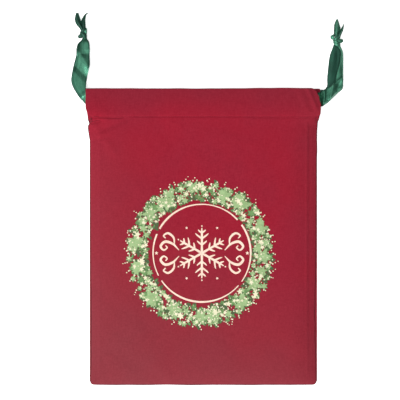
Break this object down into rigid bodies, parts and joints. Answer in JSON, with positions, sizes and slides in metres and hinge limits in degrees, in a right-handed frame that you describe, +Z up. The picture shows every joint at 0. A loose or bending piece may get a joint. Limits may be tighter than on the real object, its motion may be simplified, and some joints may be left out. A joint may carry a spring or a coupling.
{
  "type": "drawstring gift sack",
  "caption": "Flat-lying drawstring gift sack of red cloth with a printed wreath, a sewn casing at the mouth and a green satin ribbon looped out of each side.",
  "frame": {"origin": "middle of the back panel's outer face, on the surface that the empty sack lies on, half way between the side seams and half way from the bottom seam to the mouth", "axes": "+X across the sack to the viewer's right, +Y from the bottom seam to the mouth, +Z up out of the printed front"},
  "size_m": [0.3605, 0.4905, 0.0109],
  "materials": {
    "red_cloth": "matt plain weave with a short nap",
    "red_thread": "matt sewing thread",
    "green_ink": "matt print on cloth",
    "cream_ink": "matt print on cloth",
    "green_satin": "satin ribbon with a soft lengthwise sheen"
  },
  "bodies": {
    "back_wall": {"back_panel": "red_cloth", "back_hem": "red_cloth", "back_hem_edge": "red_cloth", "back_mouth_fold": "red_cloth", "left_side_seam": "red_cloth", "right_side_seam": "red_cloth", "bottom_seam": "red_cloth", "left_seam_thread": "red_thread", "right_seam_thread": "red_thread", "bottom_seam_thread": "red_thread", "back_casing_thread": "red_thread", "left_bar_tack": "red_thread", "right_bar_tack": "red_thread"},
    "front_wall": {"front_panel": "red_cloth", "front_hem": "red_cloth", "front_hem_edge": "red_cloth", "front_mouth_fold": "red_cloth", "front_casing_thread": "red_thread", "print_wreath": "green_ink", "print_stars": "cream_ink", "print_ring": "cream_ink", "print_motif": "cream_ink"},
    "left_drawstring": {"left_ribbon_back_strand": "green_satin"},
    "left_front_strand": {"left_ribbon_front_strand": "green_satin"},
    "left_loop": {"left_loop_back_strand": "green_satin", "left_loop_front_strand": "green_satin", "left_knot": "green_satin", "left_long_tail": "green_satin", "left_short_tail": "green_satin"},
    "right_drawstring": {"right_ribbon_back_strand": "green_satin"},
    "right_front_strand": {"right_ribbon_front_strand": "green_satin"},
    "right_loop": {"right_loop_back_strand": "green_satin", "right_loop_front_strand": "green_satin", "right_knot": "green_satin", "right_long_tail": "green_satin", "right_short_tail": "green_satin"}
  },
  "joints": [
    {"name": "mouth_open", "type": "hinge", "parent": "back_wall", "child": "front_wall", "pos_m": [0, -0.195, 0.0025], "axis": [1, 0, 0], "range_deg": [0, 8]},
    {"name": "left_pull", "type": "slide", "parent": "back_wall", "child": "left_drawstring", "axis": [-1, 0, 0], "range_m": [0, 0.008]},
    {"name": "right_pull", "type": "slide", "parent": "back_wall", "child": "right_drawstring", "axis": [1, 0, 0], "range_m": [0, 0.008]},
    {"name": "left_front_pull", "type": "slide", "parent": "front_wall", "child": "left_front_strand", "axis": [-1, 0, 0], "range_m": [0, 0.008]},
    {"name": "right_front_pull", "type": "slide", "parent": "front_wall", "child": "right_front_strand", "axis": [1, 0, 0], "range_m": [0, 0.008]},
    {"name": "left_loop_swing", "type": "hinge", "parent": "left_drawstring", "child": "left_loop", "pos_m": [-0.1633, 0.1861, 0.0012], "axis": [0, 0, 1], "range_deg": [0, 110]},
    {"name": "right_loop_swing", "type": "hinge", "parent": "right_drawstring", "child": "right_loop", "pos_m": [0.1633, 0.1861, 0.0012], "axis": [0, 0, 1], "range_deg": [-110, 0]}
  ],
  "couplings": [
    {"joint": "left_front_pull", "follows": "left_pull", "ratio": 1},
    {"joint": "right_front_pull", "follows": "right_pull", "ratio": 1}
  ]
}
